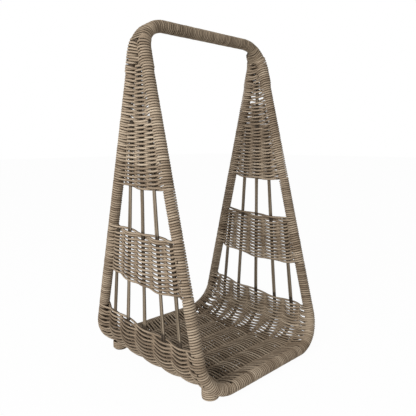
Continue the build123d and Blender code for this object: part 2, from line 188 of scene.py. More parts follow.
def tubes(name, canes, around=strands["corners"]):
    # one closed tube for each cane, with what the materials need to know at every point
    spin = (np.arange(around) + 0.5) / around * 2 * math.pi
    corners, loops, starts = [], [], []
    layers = {"grain": [], "tone": [], "flank": [], "shade": []}
    made, used = 0, 0
    for strand in canes:
        points = strand["points"]
        count = len(points)
        heading = unit(np.gradient(points, axis=0))
        across = unit(strand["axis"] - heading * (strand["axis"] * heading).sum(1, keepdims=True))
        proud = np.cross(heading, across)
        travelled = np.concatenate([[0], np.cumsum(np.linalg.norm(np.diff(points, axis=0), axis=1))])
        blunt = np.ones(count)
        blunt[[0, -1]] = strands["bluntEnds"]
        wide = (strand["wide"] * blunt)[:, None] * np.cos(spin)
        thick = (strand["thick"] * blunt)[:, None] * np.sin(spin)
        ring = points[:, None] + across[:, None] * wide[..., None] + proud[:, None] * thick[..., None]
        corners.append(ring.reshape(-1, 3))
        run = np.repeat((travelled + strand["start"])[:, None], around, 1)
        layers["grain"].append(np.stack([run, wide, thick], 2).reshape(-1, 3))
        layers["tone"].append(np.full(count * around, strand["tone"]))
        # flank: 1 at the sides of a cane beside its neighbours, where the materials paint shade
        layers["flank"].append(np.tile(np.abs(np.cos(spin)), count))
        layers["shade"].append(np.repeat(strand["shade"], around))
        rings = made + np.arange(count - 1)[:, None] * around
        here = rings + np.arange(around)
        beside = rings + (np.arange(around) + 1) % around
        quads = np.stack([here, beside, beside + around, here + around], 2).reshape(-1, 4)
        lastRing = made + (count - 1) * around
        loops += [quads.ravel(), made + np.arange(around)[::-1], lastRing + np.arange(around)]
        starts.append(used + np.arange(len(quads)) * 4)
        used += len(quads) * 4
        starts.append(np.array([used, used + around]))
        used += 2 * around
        made += count * around
    mesh = meshFrom(name, *(np.concatenate(part) for part in (corners, loops, starts)))
    for label, parts in layers.items():
        kind, field = ("FLOAT_VECTOR", "vector") if label == "grain" else ("FLOAT", "value")
        layer = mesh.attributes.new(label, kind, "POINT")
        layer.data.foreach_set(field, np.concatenate(parts).astype(np.float32).ravel())
    piece = bpy.data.objects.new(name, mesh)
    bpy.context.scene.collection.objects.link(piece)
    return piece


def finishPiece(piece, material, slotName, *nodes):
    piece.data.materials.append(material)
    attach(piece, "root")
    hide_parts(*nodes)
    print(f"  {piece.name}: {len(piece.data.polygons)} faces for {', '.join(nodes)}")


print("materials")


def newGroup(name, inputs, outputs):
    # inputs and outputs are labels by kind of socket
    group = bpy.data.node_groups.new(name, "ShaderNodeTree")
    for way, sockets in (("INPUT", inputs), ("OUTPUT", outputs)):
        for kind, labels in sockets.items():
            for label in labels:
                group.interface.new_socket(label, in_out=way, socket_type=f"NodeSocket{kind}")
    return group, group.nodes.new("NodeGroupInput").outputs, group.nodes.new("NodeGroupOutput").inputs


def feed(tree, socket, value):
    # a socket takes another node's output or a plain value
    if isinstance(value, bpy.types.NodeSocket):
        tree.links.new(value, socket)
    else:
        socket.default_value = value


def addNode(tree, kind, settings=None, **sockets):
    node = tree.nodes.new(kind)
    for label, value in (settings or {}).items():
        setattr(node, label, value)
    for label, value in sockets.items():
        feed(tree, node.inputs[label.replace("_", " ")], value)
    return node


def mathNode(tree, operation, *values):
    node = addNode(tree, "ShaderNodeMath", {"operation": operation})
    for socket, value in zip(node.inputs, values):
        feed(tree, socket, value)
    return node.outputs[0]


def mixColours(tree, share, low, high):
    # the mix node's colour sockets come after those for plain values
    node = addNode(tree, "ShaderNodeMix", {"data_type": "RGBA"})
    for index, value in ((0, share), (6, low), (7, high)):
        feed(tree, node.inputs[index], value)
    return node.outputs[2]


def stretchRange(tree, value, ends):
    # 0 at the lower end and 1 at the upper one
    return addNode(tree, "ShaderNodeMapRange", Value=value, From_Min=ends[0], From_Max=ends[1]).outputs[0]


def noise(tree, place, scale, detail, roughness=0.5):
    return addNode(tree, "ShaderNodeTexNoise", Vector=place, Scale=scale, Detail=detail,
                   Roughness=roughness).outputs[0]


def objectPlace(tree):
    return addNode(tree, "ShaderNodeTexCoord").outputs["Object"]


def placeGroup(tree, group, **sockets):
    return addNode(tree, "ShaderNodeGroup", {"node_tree": group}, **sockets).outputs


def newMaterial(name):
    material = bpy.data.materials.new(name)
    material.use_nodes = True
    tree = material.node_tree
    return material, tree, tree.nodes["Principled BSDF"]


# Fibres: long fine ones that follow each cane, and slower patches of light and dark along it
fibres = {
    "toneShift": 37.0,          # moves the pattern on from one cane to the next
    "fineDetail": 3.0, "fineRoughness": 0.6, "fineEnds": (0.3, 0.7),
    "patchFineness": 220.0, "patchDetail": 3.0, "patchRoughness": 0.55, "patchEnds": (0.32, 0.68),
    "fineHeight": 0.7, "patchHeight": 0.3,
}


def makeFibreGroup():
    tree, given, out = newGroup(
        "caneFibre",
        {"Vector": ["Grain"], "Float": ["Tone", "Fibre Length", "Fibre Fineness", "Patch Length"]},
        {"Float": ["Fibre", "Patch", "Height"]})
    parts = addNode(tree, "ShaderNodeSeparateXYZ", Vector=given["Grain"]).outputs
    shifted = mathNode(tree, "ADD", parts[0], mathNode(tree, "MULTIPLY", given["Tone"], fibres["toneShift"]))

    def streaks(length, fineness, detail, roughness):
        place = addNode(tree, "ShaderNodeCombineXYZ", X=mathNode(tree, "MULTIPLY", shifted, length),
                        Y=mathNode(tree, "MULTIPLY", parts[1], fineness),
                        Z=mathNode(tree, "MULTIPLY", parts[2], fineness)).outputs[0]
        return noise(tree, place, 1.0, detail, roughness)

    fine = streaks(given["Fibre Length"], given["Fibre Fineness"], fibres["fineDetail"],
                   fibres["fineRoughness"])
    patch = streaks(given["Patch Length"], fibres["patchFineness"], fibres["patchDetail"],
                    fibres["patchRoughness"])
    feed(tree, out["Fibre"], stretchRange(tree, fine, fibres["fineEnds"]))
    feed(tree, out["Patch"], stretchRange(tree, patch, fibres["patchEnds"]))
    feed(tree, out["Height"], mathNode(tree, "ADD", mathNode(tree, "MULTIPLY", fine, fibres["fineHeight"]),
                                       mathNode(tree, "MULTIPLY", patch, fibres["patchHeight"])))
    return tree


# Weathering and painted shade: the silvered colour of old cane, light where it is worn, and painted shade,
# near black, on the edges beside the neighbouring canes and on the stakes inside the bands
weatheringAndShade = {
    "toneShare": 0.35, "fibreShare": 0.25, "patchShare": 0.6, "stainShare": 0.15,
    "stainScale": 9.0, "stainDetail": 4.0, "stainRoughness": 0.6,
    "darkToMiddle": (0.2, 0.64), "middleToLight": (0.64, 1.15),     # wear at which the colours change
    "edgePower": 2.3,           # keeps the painted shade to the edges beside the neighbouring canes
    "roughness": 0.86, "fibrePolish": -0.18,
}


def makeWeatherShadeGroup():
    tree, given, out = newGroup(
        "caneWeatherAndShade",
        {"Color": ["Light", "Middle", "Dark", "Crease"],
         "Float": ["Tone", "Fibre", "Patch", "Flank", "Shade", "Dirt"]},
        {"Color": ["Colour"], "Float": ["Roughness"]})
    stains = noise(tree, objectPlace(tree), weatheringAndShade["stainScale"], weatheringAndShade["stainDetail"],
                   weatheringAndShade["stainRoughness"])
    worn = mathNode(tree, "MULTIPLY", given["Tone"], weatheringAndShade["toneShare"])
    for value, share in ((given["Fibre"], "fibreShare"), (given["Patch"], "patchShare"),
                         (stains, "stainShare")):
        worn = mathNode(tree, "ADD", worn, mathNode(tree, "MULTIPLY", value, weatheringAndShade[share]))
    lower = stretchRange(tree, worn, weatheringAndShade["darkToMiddle"])
    upper = stretchRange(tree, worn, weatheringAndShade["middleToLight"])
    clean = mixColours(tree, upper, mixColours(tree, lower, given["Dark"], given["Middle"]), given["Light"])
    edge = mathNode(tree, "POWER", given["Flank"], weatheringAndShade["edgePower"])
    # painted shade: the flanks go towards the near-black crease colour, and so do the stakes where their
    # shade attribute says
    paintedShade = mathNode(tree, "MAXIMUM", mathNode(tree, "MULTIPLY", edge, given["Dirt"]), given["Shade"])
    feed(tree, out["Colour"], mixColours(tree, paintedShade, clean, given["Crease"]))
    polish = mathNode(tree, "MULTIPLY", given["Fibre"], weatheringAndShade["fibrePolish"])
    feed(tree, out["Roughness"], mathNode(tree, "ADD", polish, weatheringAndShade["roughness"]))
    return tree


fibreGroup = makeFibreGroup()
weatherShadeGroup = makeWeatherShadeGroup()

# Weathered cane: what differs from one use to the next
weaverLook = {
    "light": (0.56, 0.455, 0.335, 1), "middle": (0.32, 0.243, 0.168, 1), "dark": (0.125, 0.084, 0.051, 1),
    # the near-black colour and the strength that follow are painted shade on the edges beside the
    # neighbouring canes
    "creaseShade": (0.022, 0.013, 0.007, 1), "flankShade": 0.85, "shine": 0.3,
    "bump": 0.55, "bumpDistance": 0.0006,
    "fibreLength": 55.0, "fibreFineness": 1500.0, "patchLength": 14.0,
}
handleLook = dict(weaverLook, light=(0.50, 0.40, 0.285, 1), middle=(0.27, 0.205, 0.138, 1),
                  dark=(0.08, 0.053, 0.031, 1), flankShade=0.95, patchLength=31.0)
stakeLook = dict(weaverLook, light=(0.40, 0.325, 0.24, 1), middle=(0.20, 0.157, 0.108, 1),
                 dark=(0.075, 0.053, 0.033, 1), flankShade=0.6, fibreLength=22.0, patchLength=7.0)


def caneMaterial(name, look):
    material, tree, shader = newMaterial(name)

    def layer(label, output):
        return addNode(tree, "ShaderNodeAttribute", {"attribute_name": label}).outputs[output]

    tone = layer("tone", "Fac")
    fibre = placeGroup(tree, fibreGroup, Grain=layer("grain", "Vector"), Tone=tone,
                       Fibre_Length=look["fibreLength"], Fibre_Fineness=look["fibreFineness"],
                       Patch_Length=look["patchLength"])
    # the crease colour, the flank and the shade paint shade into the colour
    weatherAndShade = placeGroup(tree, weatherShadeGroup, Light=look["light"], Middle=look["middle"], Dark=look["dark"],
                         Crease=look["creaseShade"], Tone=tone, Fibre=fibre["Fibre"], Patch=fibre["Patch"],
                         Flank=layer("flank", "Fac"), Shade=layer("shade", "Fac"), Dirt=look["flankShade"])
    bump = addNode(tree, "ShaderNodeBump", Height=fibre["Height"], Strength=look["bump"],
                   Distance=look["bumpDistance"])
    feed(tree, shader.inputs["Base Color"], weatherAndShade["Colour"])
    feed(tree, shader.inputs["Roughness"], weatherAndShade["Roughness"])
    feed(tree, shader.inputs["Normal"], bump.outputs[0])
    feed(tree, shader.inputs["Specular IOR Level"], look["shine"])
    return material


weaverCane = caneMaterial("weathered weaving cane", weaverLook)
handleCane = caneMaterial("handled binding cane", handleLook)
stakeCane = caneMaterial("weathered stake cane", stakeLook)

# Plain wood of the poles and the dowels, with rings and streaks that run up the grain; the poles' colours are
# painted shade, dark because they show only through the gaps between the canes wound on them
shadedPoleLook = {
    # painted shade: the pole is coloured dark as it shows only in the shaded gaps between its turns
    "light": (0.15, 0.1, 0.06, 1), "dark": (0.06, 0.036, 0.02, 1), "roughness": 0.75, "streakPolish": -0.15,
    "stretch": (90, 90, 14), "scale": 3.0, "detail": 5.0, "streakRoughness": 0.65, "ends": (0.3, 0.7),
    "bump": 0.3, "bumpDistance": 0.0005,
}
dowelLook = dict(shadedPoleLook, light=(0.6, 0.45, 0.28, 1), dark=(0.42, 0.29, 0.16, 1), roughness=0.6)


def woodMaterial(name, look):
    material, tree, shader = newMaterial(name)
    stretched = addNode(tree, "ShaderNodeMapping", Vector=objectPlace(tree), Scale=look["stretch"]).outputs[0]
    streak = noise(tree, stretched, look["scale"], look["detail"], look["streakRoughness"])
    share = stretchRange(tree, streak, look["ends"])
    polish = mathNode(tree, "MULTIPLY", share, look["streakPolish"])
    bump = addNode(tree, "ShaderNodeBump", Height=streak, Strength=look["bump"],
                   Distance=look["bumpDistance"])
    feed(tree, shader.inputs["Base Color"], mixColours(tree, share, look["dark"], look["light"]))
    feed(tree, shader.inputs["Roughness"], mathNode(tree, "ADD", polish, look["roughness"]))
    feed(tree, shader.inputs["Normal"], bump.outputs[0])
    return material


shadedPoleWood = woodMaterial("rattan pole in painted shade", shadedPoleLook)
dowelWood = woodMaterial("plain hardwood dowel", dowelLook)

# Steel of the pins, brushed along
pinLook = {
    "light": (0.68, 0.67, 0.64, 1), "dark": (0.5, 0.5, 0.48, 1), "roughness": 0.28, "lineRoughness": 0.2,
    "stretch": (900, 40, 900), "detail": 2.0,
}


def pinMaterial(look):
    material, tree, shader = newMaterial("plain steel pin")
    brushed = addNode(tree, "ShaderNodeMapping", Vector=objectPlace(tree), Scale=look["stretch"]).outputs[0]
    lines = noise(tree, brushed, 1.0, look["detail"])
    dull = mathNode(tree, "MULTIPLY", lines, look["lineRoughness"])
    feed(tree, shader.inputs["Base Color"], mixColours(tree, lines, look["dark"], look["light"]))
    feed(tree, shader.inputs["Roughness"], mathNode(tree, "ADD", dull, look["roughness"]))
    feed(tree, shader.inputs["Metallic"], 1.0)
    return material


steel = pinMaterial(pinLook)


print("weave")

# Stakes: how high each pair goes, and where it stands as (depth from the middle, height)
stakes = {
    "caneRadius": 0.0025,
    "spacing": 0.0052,          # between the two canes of a pair
    "tops": {"front_outer": 0.336, "front_inner": 0.585, "centre": 0.700, "rear_inner": 0.585,
             "rear_outer": 0.336},
    "innerHigh": (0.0433, 0.440), "innerLow": (0.0658, 0.125),
    "outerHigh": (0.0960, 0.343), "outerLow": (0.1215, 0.125),
    "sway": 0.0003,             # slow bends, front to rear
    "sidewaysSway": 0.0002,
    "swayRates": (20, 40), "swayStarts": (0, 6),            # radians per metre, and radians
    "startAbove": 0.0003,       # how far above the corner they start
    "oval": 0.02,               # how much wider than thick
    "samples": 90,
    "insideShade": 0.85,        # how dark the painted shade makes them inside a band
    "shadeFade": 0.006,         # over which height the dark ends
    "fadeBelow": 0.004, "fadeAbove": 0.001,     # how far inside the bands the dark begins to end
}
# The right side's upper band has a few sparse rows, with the stakes bare between them
sparseRows = {"low": 0.638, "high": 0.666, "pitch": 0.0078, "bareLow": 0.642, "bareHigh": 0.668}


def stakeDepth(name, heights):
    # distance of a stake from the middle, steady below the corner
    if name == "centre":
        return 0 * heights
    kind = name.split("_")[1]
    (high, highAt), (low, lowAt) = stakes[kind + "High"], stakes[kind + "Low"]
    heights = np.maximum(heights, heightAt([cornerEnd])[0])
    depth = low + (high - low) * (heights - lowAt) / (highAt - lowAt)
    return depth if name.startswith("rear") else -depth


def standingAt(spot):
    height = heightAt([spot])[0]
    return [name for name, top in stakes["tops"].items() if height < top]


# The weave: one cane goes over and under the stakes, turns round the post and comes back as the next row
weave = {
    "caneRadius": 0.0024,       # half its thickness
    "caneHalfWidth": 0.00275,
    "widthChange": 0.04, "widthRate": 1.7,      # share and rate of change in width from row to row
    "clearance": 0.0001,        # between a row and the stake that it crosses
    "crown": 0.0002,            # how much a row rises over the middle of a pair of stakes
    "rowOverhang": 0.3,         # share of its pitch by which the last row may stand past the band
    "rowDrift": 0.0006,         # slow wander that neighbouring rows share
    "driftRate": 95, "driftStep": 1.9,          # its change along the ribbon, and from stake to stake
    "rowJitter": 0.00010,
    "edgeRows": 3,              # the rows beside a band's edges that wander and hang less
    "edgeSwing": 0.2,           # how much of the swing is left at the edge itself
    "stiffLength": 0.02,        # beside the posts, where a row hangs less
    "postLength": 0.014,        # beside the posts, where a row takes on the width of its turn
    "turnRadius": 0.01074,      # pole centre to cane centre, where it goes round a post
    "turnThickness": 0.0021,
    "turnJitter": 0.00012,
    "turnInset": 0.25,          # share of the pitch at which a turn begins and ends
    "halfTurnSteps": 13,
    "swell": 0.0020,            # how much wider the turns are under the lashing
    "swellHeight": 0.684, "swellLength": 0.004,
    "slide": 0.0012,            # how far the outermost rows may climb or fall to meet their turns
    "bulge": 0.0105,            # how far the floor hangs out between its two bars
    "bulgePast": 0.015,         # how far past the corner the bulge goes
    "bulgeFade": 0.08,          # over which length it ends
    "caneLength": 2.6,
    "turnLength": 0.06,         # cane that the turns use up for each row
    "step": 0.0027, "fewestSteps": 4,
}
# swing: how far a row hangs at a stake below its crossings; tilt: how much its rear end is higher;
# bow: how far its middle hangs; the last two at the beginning and at the end of the band
bands = {
    "floor": {"rowPitch": 0.0048, "turnPitch": 0.0054, "swing": 0.0, "tilt": (0, 0), "bow": (0, 0)},
    "lower": {"rowPitch": 0.0044, "turnPitch": 0.0056, "swing": 0.0036, "tilt": (0, 0.0120),
              "bow": (0, -0.0090)},
    "middle": {"rowPitch": 0.0044, "turnPitch": 0.0056, "swing": 0.0026, "tilt": (0.0075, 0.0050),
               "bow": (-0.0145, -0.0030)},
    "upper": {"rowPitch": 0.0044, "turnPitch": 0.0056, "swing": 0.0008, "tilt": (0.0040, -0.0020),
              "bow": (-0.0070, 0)},
}
gapHeights = {"upperTop": 0.443, "upperBottom": 0.343, "lowerTop": 0.229, "lowerBottom": 0.126}
gapTilts = {"upperTop": bands["upper"]["tilt"][0], "upperBottom": bands["middle"]["tilt"][1],
            "lowerTop": bands["middle"]["tilt"][0], "lowerBottom": bands["lower"]["tilt"][1]}
crossingOffset = stakes["caneRadius"] + weave["caneRadius"] + weave["clearance"]


def bulgeAt(spots, depths):
    # how far the ribbon hangs out between the bars, most along the floor and none above the corner
    share = smooth((cornerEnd + weave["bulgePast"] - np.abs(spots)) / weave["bulgeFade"])
    return weave["bulge"] * share * np.maximum(0, 1 - (depths / halfDepth(spots)) ** 2)


def rowPlaces(side, bandName, begin, end):
    # where the rows of a band lie, spread to fill it
    rows, spot = [], begin
    while True:
        pitch = bands[bandName]["rowPitch"]
        sparse = sparseRows["low"] < heightAt([spot])[0] < sparseRows["high"]
        if sparse and side > 0 and bandName == "upper":
            pitch = sparseRows["pitch"]
        if spot + pitch > end + pitch * weave["rowOverhang"]:
            break
        rows.append(spot + pitch / 2)
        spot += pitch
    return begin + (np.array(rows) - begin) * (end - begin) / (spot - begin)


def planTurns(rows, begin, end, band):
    # by face and by the row before it: where a turn begins and ends, how often it goes round, its pitch
    lowTilt, highTilt = band["tilt"]

    def near(travelled, row):
        # a turn meets the outermost rows of the band squarely
        if row not in (0, len(rows) - 1):
            return travelled
        along = rows[row] - begin
        return min(max(travelled, along - weave["slide"]), along + weave["slide"])

    def tilted(travelled, face):
        return begin + travelled + face * (lowTilt + (highTilt - lowTilt) * travelled / (end - begin))

    plan = {-1: {}, 1: {}}
    for face, turns in plan.items():
        rowsBefore = range(-1 if face < 0 else 0, len(rows), 2)
        counts, passed = [], 0
        for reached in [rows[row] for row in rowsBefore[1:]] + [end]:
            counts.append(max(1, round((reached - begin) / band["turnPitch"]) - passed))
            passed += counts[-1]
        pitch = (end - begin) / passed
        first = 0
        for row, count in zip(rowsBefore, counts):
            arrive = near((first + weave["turnInset"]) * pitch, row)
            leave = near((first + count - weave["turnInset"]) * pitch, row + 1)
            turns[row] = (tilted(arrive, face), tilted(leave, face), count, pitch)
            first += count
    return plan


def turnPart(woven, row, sign, rng):
    # the turns after a row, round the post of one face, from the sign side of the ribbon to the other
    face = -1 if row % 2 else 1
    arrive, leave, count, pitch = woven["turns"][face][row]
    halves = 2 * count - 1
    steps = weave["halfTurnSteps"] * halves
    share = np.arange(1, steps) / steps
    spots = arrive + (leave - arrive) * share
    angle = (0 if sign < 0 else math.pi) - sign * share * halves * math.pi
    at, along, inward, away = hoopAt(face, woven["side"] * spots)
    swollen = smooth((spots - spotAt(weave["swellHeight"])) / weave["swellLength"])
    radius = weave["turnRadius"] + rng.normal(0, weave["turnJitter"]) + weave["swell"] * swollen
    around = -inward * np.cos(angle)[:, None] + away * np.sin(angle)[:, None]
    return (at + around * radius[:, None], along * woven["side"],
            np.full(len(share), pitch * strands["woundShare"]), np.full(len(share), weave["turnThickness"]))


def rowKnots(spot, sign):
    # where a row meets the posts and stakes, front to rear, as (begin, end, offset towards the inside)
    height = np.array([heightAt([spot])[0]])
    reach = halfDepth([spot])[0]
    hug = stakes["spacing"] / 2
    knots = [(-reach, -reach, sign * weave["turnRadius"])]
    for name in standingAt(spot):
        sign = -sign
        depth = float(stakeDepth(name, height)[0])
        knots.append((depth - hug, depth + hug, sign * crossingOffset))
    knots.append((reach, reach, -sign * weave["turnRadius"]))
    return knots


def rowShape(woven, index, sign, slides, rng):
    # depths, offsets and shifts along the ribbon of one row, which is straightest at the band's edges
    spot = woven["rows"][index]
    place = (spot - woven["begin"]) / (woven["end"] - woven["begin"])
    freedom = min(1, min(index, len(woven["rows"]) - 1 - index) / weave["edgeRows"])
    tilt, bow = (low + (high - low) * place for low, high in (woven["tilt"], woven["bow"]))
    knots = rowKnots(spot, sign)
    reach = knots[-1][0]
    drift = np.sin(spot * weave["driftRate"] + np.arange(len(knots)) * weave["driftStep"])
    wobble = weave["rowDrift"] * drift * freedom + rng.normal(0, weave["rowJitter"], len(knots))
    wobble[[0, -1]] = slides[0] + tilt, slides[1] - tilt
    depths, offsets, shifts = [], [], []
    for knot, ((_, begin, low), (end, past, high)) in enumerate(zip(knots, knots[1:]), 1):
        count = max(weave["fewestSteps"], round((end - begin) / weave["step"]))
        share = np.arange(count) / count
        depths.append(begin + (end - begin) * share)
        offsets.append(low + (high - low) * smooth(share))
        shifts.append(wobble[knot - 1] + (wobble[knot] - wobble[knot - 1]) * smooth(share))
        if knot < len(knots) - 1:
            depths.append(np.array([end, (end + past) / 2]))
            offsets.append(np.array([high, high + math.copysign(weave["crown"], high)]))
            shifts.append(np.full(2, wobble[knot]))
    depths, offsets, shifts = (np.append(np.concatenate(part), last) for part, last in (
        (depths, reach), (offsets, knots[-1][2]), (shifts, wobble[-1])))
    across = depths / reach
    loose = np.clip((reach - np.abs(depths)) / weave["stiffLength"], 0, 1)
    swing = woven["swing"] * (weave["edgeSwing"] + (1 - weave["edgeSwing"]) * freedom)
    swing = swing * np.minimum(1, np.abs(offsets) / crossingOffset) * loose
    return depths, offsets, shifts - swing + tilt * across + bow * (1 - across ** 2)


def rowPart(woven, index, sign, rng):
    side, turns, spot = woven["side"], woven["turns"], woven["rows"][index]
    forward = index % 2 == 0
    before, after = (turns[-1], turns[1]) if forward else (turns[1], turns[-1])
    slides = (before[index - 1][1] - spot if index - 1 in before else 0.0,
              after[index][0] - spot if index in after else 0.0)
    depths, offsets, shifts = rowShape(woven, index, sign, slides if forward else slides[::-1], rng)
    spots = side * (spot + shifts)
    at, along, inward, _ = hoopAt(-1, spots)
    own = halfDepth([spot])[0]
    line = np.stack([at[:, 0], depths * halfDepth(spots) / own, at[:, 2]], 1)
    line += inward * (offsets - bulgeAt(spots, depths))[:, None]
    nearPost = smooth(1 - (own - np.abs(depths)) / weave["postLength"])
    wide = weave["caneHalfWidth"] * (1 + weave["widthChange"] * math.sin(index * weave["widthRate"]))
    wide = wide + (woven["turnPitch"] * strands["woundShare"] - wide) * nearPost
    order = slice(None, None, 1 if forward else -1)
    return line[order], (along * side)[order], wide[order], np.full(len(depths), weave["caneRadius"])


def weaveBand(side, bandName, begin, end, rng):
    # the rows of one band and their turns round both posts, as a few long canes
    rows = rowPlaces(side, bandName, begin, end)
    woven = dict(bands[bandName], side=side, begin=begin, end=end, rows=rows,
                 turns=planTurns(rows, begin, end, bands[bandName]))
    canes, parts, length = [], [turnPart(woven, -1, 1, rng)], 0.0
    for index, spot in enumerate(rows):
        sign, face = (1, -1) if index % 2 else (-1, 1)
        parts.append(rowPart(woven, index, sign, rng))
        # the rear post is met on the side that the last stake leaves
        crossed = face > 0 and len(standingAt(spot)) % 2 == 0
        if index in woven["turns"][face]:
            parts.append(turnPart(woven, index, -sign if crossed else sign, rng))
        length += 2 * halfDepth([spot])[0] + weave["turnLength"]
        if length > weave["caneLength"] or index == len(rows) - 1:
            canes.append(cane(*(np.concatenate(part) for part in zip(*parts)), rng))
            parts, length = [], 0.0
    return canes


# The floor, then the three bands of each side with the turns that wrap their posts
bandPieces = [("floor_weave", 1, "floor", -cornerStart, cornerStart, "floor_wrap")]
for sideName, side in sides.items():
    for bandName, begin, end, wrapName in (
            ("lower", cornerStart, spotAt(gapHeights["lowerBottom"]), "corner_wrap"),
            ("middle", spotAt(gapHeights["lowerTop"]), spotAt(gapHeights["upperBottom"]), "middle_wrap"),
            ("upper", spotAt(gapHeights["upperTop"]), seam, "upper_wrap")):
        bandPieces.append((f"{sideName}_{bandName}_weave", side, bandName, begin, end,
                           f"{sideName}_{wrapName}"))
for index, (name, side, bandName, begin, end, wrapName) in enumerate(bandPieces):
    canes = weaveBand(side, bandName, begin, end, np.random.default_rng(seeds["bands"] + index))
    wraps = [f"{face}_{wrapName}" for face in faces]
    finishPiece(tubes(name, canes), weaverCane, "weaving_cane", name, *wraps)


print("stakes")


def stakeShade(heights, side):
    # painted shade: the stakes are painted dark between the strands of a band, where the weave shades them,
    # and keep their weathered colour in the open gaps
    shade = np.ones(len(heights))
    openings = [(gapHeights["lowerBottom"], gapHeights["lowerTop"]),
                (gapHeights["upperBottom"], gapHeights["upperTop"])]
    if side > 0:
        openings.append((sparseRows["bareLow"], sparseRows["bareHigh"]))
    for low, high in openings:
        bare = (smooth((heights - low + stakes["fadeBelow"]) / stakes["shadeFade"])
                * smooth((high + stakes["fadeAbove"] - heights) / stakes["shadeFade"]))
        shade = np.minimum(shade, 1 - bare)
    return shade * stakes["insideShade"]


def sideStake(side, name, rng):
    spots = np.linspace(cornerEnd + stakes["startAbove"], spotAt(stakes["tops"][name]), stakes["samples"])
    at, _, inward, _ = hoopAt(-1, side * spots)
    heights = at[:, 2]

    def wave():
        return np.sin(heights * rng.uniform(*stakes["swayRates"]) + rng.uniform(*stakes["swayStarts"]))

    canes = []
    for shift in (-stakes["spacing"] / 2, stakes["spacing"] / 2):
        depths = stakeDepth(name, heights) + shift + wave() * stakes["sway"]
        line = np.stack([at[:, 0] + wave() * stakes["sidewaysSway"], depths, heights], 1)
        line -= inward * bulgeAt(spots, depths)[:, None]
        canes.append(cane(line, (0, 1, 0), stakes["caneRadius"] * (1 + stakes["oval"]),
                          stakes["caneRadius"] * (1 - stakes["oval"]), rng, shade=stakeShade(heights, side)))
    return canes


for sideName, side in sides.items():
    for index, name in enumerate(stakes["tops"]):
        rng = np.random.default_rng(seeds["stakes"] + 10 * (side > 0) + index)
        nodeName = f"{sideName}_{name}_stake"
        piece = tubes(nodeName, sideStake(side, name, rng), strands["roundCorners"])
        finishPiece(piece, stakeCane, "stake_cane", nodeName)

# The lower lengths of the stakes, under the floor's weave from corner to corner
# shade: painted shade on the lower lengths, which lie under the floor's weave
baseLengths = {"cornerSamples": 40, "floorSamples": 60, "shade": 0.6}


def baseStakes(rng):
    corner = np.linspace(cornerStart, cornerEnd, baseLengths["cornerSamples"])
    flat = np.linspace(-cornerStart, cornerStart, baseLengths["floorSamples"])[1:-1]
    spots = np.concatenate([-corner[::-1], flat, corner])
    at, _, inward, _ = hoopAt(-1, spots)
    canes = []
    for name in stakes["tops"]:
        depth = float(stakeDepth(name, np.zeros(1))[0])
        for shift in (-stakes["spacing"] / 2, stakes["spacing"] / 2):
            line = np.stack([at[:, 0], np.full(len(spots), depth + shift), at[:, 2]], 1)
            line -= inward * bulgeAt(spots, line[:, 1])[:, None]
            canes.append(cane(line, (0, 1, 0), stakes["caneRadius"], stakes["caneRadius"], rng,
                              shade=baseLengths["shade"]))
    return canes


base = tubes("base_stakes", baseStakes(np.random.default_rng(seeds["base"])), strands["roundCorners"])
finishPiece(base, stakeCane, "stake_cane", "base_stakes")


print("bindings")

# Bindings: cane wound on the bare posts, in the upper and the lower gap
bindings = {
    "pitch": 0.0054,
    "outerRadius": 0.0129,
    "thickness": 0.0020,
    "underBand": 0.002,         # how far a binding goes in under the bands
    "wander": 0.00012, "wanderAngle": 1.5,      # how far it strays from round, and how often in radians
    "tones": (0.2, 0.9),
    "stepsPerTurn": 28,
}


def windPost(face, side, begin, end, rng):
    steps = math.ceil((end - begin) / bindings["pitch"] * bindings["stepsPerTurn"])
    turned = np.arange(steps + 1) / bindings["stepsPerTurn"]
    spots = begin + turned * bindings["pitch"]
    angles = math.pi + turned * 2 * math.pi
    knots = np.arange(angles[0], angles[-1] + 2 * bindings["wanderAngle"], bindings["wanderAngle"])
    wander = np.interp(angles, knots, rng.normal(0, bindings["wander"], len(knots)))
    radius = bindings["outerRadius"] - bindings["thickness"] + wander
    at, along, inward, away = hoopAt(face, side * spots)
    around = -inward * np.cos(angles)[:, None] + away * np.sin(angles)[:, None]
    return cane(at + around * radius[:, None], along * side, bindings["pitch"] * strands["woundShare"],
                bindings["thickness"], rng, bindings["tones"])


for sideName, side in sides.items():
    for faceName, face in faces.items():
        for gapName in ("upper", "lower"):
            place = 8 * (side > 0) + 4 * (face > 0) + 2 * (gapName == "upper")
            rng = np.random.default_rng(seeds["bindings"] + place)
            low, high = (spotAt(gapHeights[gapName + edge]) + face * gapTilts[gapName + edge]
                         for edge in ("Bottom", "Top"))
            wound = windPost(face, side, low - bindings["underBand"], high + bindings["underBand"], rng)
            nodeName = f"{faceName}_{sideName}_{gapName}_binding"
            finishPiece(tubes(nodeName, [wound]), weaverCane, "binding_cane", nodeName)


print("top lashing and handle")

# Top lashing and handle: one winding that starts over both poles and closes in on the handle
top = {
    "lashingPitch": 0.0052,
    "handlePitch": 0.0052,
    "lashingRadius": 0.0138,    # pole centre to the outside of the winding, at the lashing and on the handle
    "handleRadius": 0.0136,
    "thickness": 0.0020,
    "handleDrop": 0.0008,
    "tilt": 0.0035,             # how much lower the lashing passes the rear post
    "ovalEnds": 3,              # the higher, the flatter the sides between the two poles
    "closingLength": 0.016,     # how far past the rear pole's end the turns still narrow
    "startBelow": 0.0050,       # how far below the seam the lashing starts
    "endPast": 0.002,           # how far past the rear pole's end it goes
    "caneEnds": (0, 0.36, 0.69, 1.0),           # shares of the handle's winding where a cane ends
    "wander": 0.00012, "wanderStep": 0.008, "wanderPast": 0.02,
    "lashingTones": (0.3, 0.7), "handleTones": (0.2, 0.8),
    "lashingSteps": 36, "handleSteps": 28,      # points for each turn
}
lashingStart = seam - top["startBelow"]
lashingEnd = rearPoleEnd + top["endPast"]


